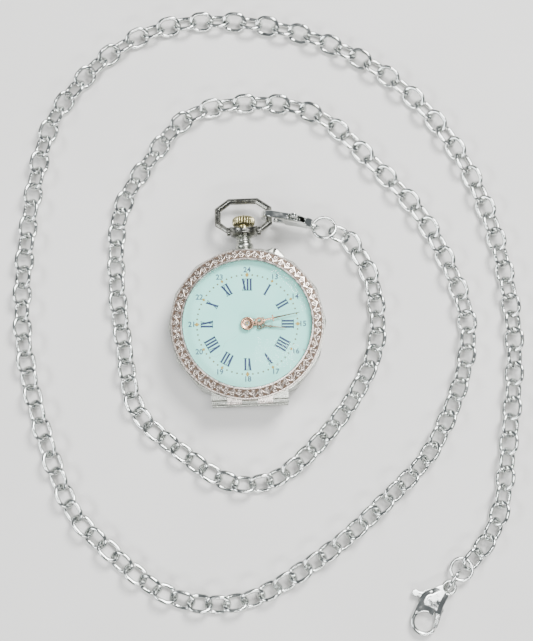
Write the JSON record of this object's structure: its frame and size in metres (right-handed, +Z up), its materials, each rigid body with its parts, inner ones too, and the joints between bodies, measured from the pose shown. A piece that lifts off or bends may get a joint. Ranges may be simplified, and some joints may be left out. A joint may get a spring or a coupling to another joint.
{
  "type": "pocket watch",
  "caption": "Open-faced keyless pocket watch with hinged covers, full movement, set pin, faceted bow and a long link chain with clasps.",
  "frame": {"origin": "on the axis of the hands, in the plane that the back cover rests on", "axes": "+Z up through the dial, +Y towards the pendant and twelve, +X towards three"},
  "size_m": [0.1252, 0.1575, 0.0115],
  "materials": {
    "case_silver": "silver, lightly brushed and worn, edges bright",
    "dark_silver": "tarnished silver with bright facet edges",
    "bezel_rose": "engraved silver with a warm tarnish in the cuts",
    "crystal_glass": "clear domed crystal",
    "inner_gilt": "gilt metal, softly polished",
    "enamel": "pale glossy vitreous enamel on copper",
    "gilt": "matt gilt brass",
    "wheel_brass": "polished brass",
    "blued_steel": "blued steel",
    "ruby": "polished synthetic ruby",
    "bright_steel": "polished steel",
    "crown_brass": "worn gilt crown, bare silver in the grooves",
    "rose_gold": "rose gilt hand",
    "hand_dark": "dark blue-green steel",
    "chain_silver": "polished silver-plated steel"
  },
  "bodies": {
    "case": {"case_band": "case_silver", "pendant": "case_silver", "pusher_guard": "case_silver", "hinge_pins": "bright_steel", "dial": "enamel", "mainplate": "gilt", "barrel_bridge": "gilt", "centre_bridge": "gilt", "third_bridge": "gilt", "fourth_bridge": "gilt", "escape_cock": "gilt", "balance_cock": "gilt", "bridge_screws": "blued_steel", "jewels": "ruby", "case_screws": "blued_steel", "crown_wheel_screw": "blued_steel", "click_spring": "bright_steel", "bow_screws": "case_silver", "chain_inner_turn": "chain_silver", "chain_middle_turn": "chain_silver", "chain_outer_turn": "chain_silver", "chain_end_turn": "chain_silver", "end_jump_ring": "chain_silver", "end_link": "chain_silver", "end_clasp": "chain_silver", "end_clasp_pin": "bright_steel"},
    "bezel": {"bezel": "bezel_rose", "crystal": "crystal_glass"},
    "back_cover": {"back_cover": "case_silver"},
    "inner_cover": {"inner_cover": "inner_gilt"},
    "bow": {"bow": "dark_silver", "bow_clasp": "chain_silver", "bow_clasp_pin": "bright_steel", "bow_jump_ring": "chain_silver"},
    "bow_clasp_lever": {"bow_clasp_lever": "chain_silver"},
    "end_clasp_lever": {"end_clasp_lever": "chain_silver"},
    "crown": {"crown": "crown_brass", "winding_stem": "bright_steel"},
    "crown_wheel": {"crown_wheel": "bright_steel"},
    "ratchet_wheel": {"ratchet_wheel": "bright_steel", "barrel_arbor": "bright_steel"},
    "click": {"click": "bright_steel"},
    "regulator": {"regulator": "bright_steel"},
    "barrel": {"barrel_drum": "gilt", "mainspring": "blued_steel"},
    "centre_wheel": {"centre_wheel": "wheel_brass"},
    "third_wheel": {"third_wheel": "wheel_brass"},
    "fourth_wheel": {"fourth_wheel": "wheel_brass"},
    "escape_wheel": {"escape_wheel": "bright_steel"},
    "balance": {"balance_wheel": "wheel_brass", "balance_staff": "bright_steel", "hairspring": "blued_steel"},
    "minute_hand": {"cannon_pinion": "bright_steel", "minute_hand": "rose_gold"},
    "minute_wheel": {"minute_wheel": "wheel_brass"},
    "hour_hand": {"hour_wheel": "wheel_brass", "hour_hand": "hand_dark"},
    "setting_wheel": {"setting_wheel": "bright_steel"},
    "set_pin": {"set_pin": "bright_steel"},
    "setting_lever": {"setting_lever": "bright_steel"}
  },
  "joints": [
    {"name": "bezel_hinge", "type": "hinge", "parent": "case", "child": "bezel", "pos_m": [0, -0.01862, 0.00895], "axis": [1, 0, 0], "range_deg": [0, 95]},
    {"name": "back_hinge", "type": "hinge", "parent": "case", "child": "back_cover", "pos_m": [0, -0.01862, 0.00305], "axis": [-1, 0, 0], "range_deg": [0, 100]},
    {"name": "inner_cover_hinge", "type": "hinge", "parent": "case", "child": "inner_cover", "pos_m": [0, -0.0173, 0.0034], "axis": [-1, 0, 0], "range_deg": [0, 80]},
    {"name": "bow_swing", "type": "hinge", "parent": "case", "child": "bow", "pos_m": [0, 0.0237, 0.0061], "axis": [1, 0, 0], "range_deg": [-8, 118]},
    {"name": "bow_clasp_trigger", "type": "hinge", "parent": "bow", "child": "bow_clasp_lever", "pos_m": [0.01297, 0.02609, 0.0064], "axis": [0.2164, 0.9763, 0], "range_deg": [0, 14], "stiffness_Nm_per_rad": 0.004},
    {"name": "end_clasp_trigger", "type": "hinge", "parent": "case", "child": "end_clasp_lever", "pos_m": [0.04053, -0.06598, 0.0011], "axis": [0, 0, -1], "range_deg": [0, 18], "stiffness_Nm_per_rad": 0.004},
    {"name": "crown_turn", "type": "hinge", "parent": "case", "child": "crown", "pos_m": [0, 0.025, 0.0061], "axis": [0, 1, 0], "continuous": true},
    {"name": "crown_wheel_turn", "type": "hinge", "parent": "case", "child": "crown_wheel", "pos_m": [0, 0.01127, 0.005], "axis": [0, 0, 1], "continuous": true},
    {"name": "ratchet_turn", "type": "hinge", "parent": "case", "child": "ratchet_wheel", "pos_m": [0.00489, 0.00582, 0.005], "axis": [0, 0, 1], "continuous": true},
    {"name": "click_lift", "type": "hinge", "parent": "case", "child": "click", "pos_m": [0.01089, 0.00802, 0.005], "axis": [0, 0, -1], "range_deg": [0, 14], "stiffness_Nm_per_rad": 0.0005},
    {"name": "regulator_turn", "type": "hinge", "parent": "case", "child": "regulator", "pos_m": [0.00359, -0.00732, 0.005], "axis": [0, 0, 1], "range_deg": [-25, 25]},
    {"name": "barrel_turn", "type": "hinge", "parent": "case", "child": "barrel", "pos_m": [0.00489, 0.00582, 0.005], "axis": [0, 0, 1], "continuous": true},
    {"name": "centre_turn", "type": "hinge", "parent": "case", "child": "centre_wheel", "pos_m": [0, 0, 0.005], "axis": [0, 0, 1], "continuous": true},
    {"name": "third_turn", "type": "hinge", "parent": "case", "child": "third_wheel", "pos_m": [-0.00474, -0.00172, 0.005], "axis": [0, 0, 1], "continuous": true},
    {"name": "fourth_turn", "type": "hinge", "parent": "case", "child": "fourth_wheel", "pos_m": [-0.00253, -0.00555, 0.005], "axis": [0, 0, 1], "continuous": true},
    {"name": "escape_turn", "type": "hinge", "parent": "case", "child": "escape_wheel", "pos_m": [0.00121, -0.00621, 0.005], "axis": [0, 0, 1], "continuous": true},
    {"name": "balance_swing", "type": "hinge", "parent": "case", "child": "balance", "pos_m": [0.00359, -0.00732, 0.005], "axis": [0, 0, 1], "range_deg": [-135, 135], "stiffness_Nm_per_rad": 0.0000003},
    {"name": "minute_turn", "type": "hinge", "parent": "case", "child": "minute_hand", "pos_m": [0, 0, 0.005], "axis": [0, 0, 1], "continuous": true},
    {"name": "minute_wheel_turn", "type": "hinge", "parent": "case", "child": "minute_wheel", "pos_m": [0.00062, 0.00232, 0.005], "axis": [0, 0, 1], "continuous": true},
    {"name": "hour_turn", "type": "hinge", "parent": "case", "child": "hour_hand", "pos_m": [0, 0, 0.005], "axis": [0, 0, 1], "continuous": true},
    {"name": "setting_wheel_turn", "type": "hinge", "parent": "case", "child": "setting_wheel", "pos_m": [0.00119, 0.00557, 0.005], "axis": [0, 0, 1], "continuous": true},
    {"name": "set_pin_press", "type": "slide", "parent": "case", "child": "set_pin", "axis": [-0.3907, -0.9205, 0], "range_m": [0, 0.00054], "stiffness_N_per_m": 500},
    {"name": "setting_lever_rock", "type": "hinge", "parent": "case", "child": "setting_lever", "pos_m": [0.00803, 0.00958, 0.005], "axis": [0, 0, 1], "range_deg": [0, 8.6]}
  ],
  "couplings": [
    {"joint": "inner_cover_hinge", "follows": "back_hinge", "ratio": 0.8},
    {"joint": "crown_wheel_turn", "follows": "crown_turn", "ratio": 0.7},
    {"joint": "ratchet_turn", "follows": "crown_turn", "ratio": -0.38889},
    {"joint": "third_turn", "follows": "fourth_turn", "ratio": -0.13333},
    {"joint": "centre_turn", "follows": "fourth_turn", "ratio": 0.016667},
    {"joint": "barrel_turn", "follows": "fourth_turn", "ratio": -0.0018519},
    {"joint": "escape_turn", "follows": "fourth_turn", "ratio": -10},
    {"joint": "minute_wheel_turn", "follows": "minute_turn", "ratio": -0.33333},
    {"joint": "hour_turn", "follows": "minute_turn", "ratio": 0.083333},
    {"joint": "setting_wheel_turn", "follows": "minute_turn", "ratio": 0.4},
    {"joint": "setting_lever_rock", "follows": "set_pin_press", "rad_per_m": 274.1}
  ]
}
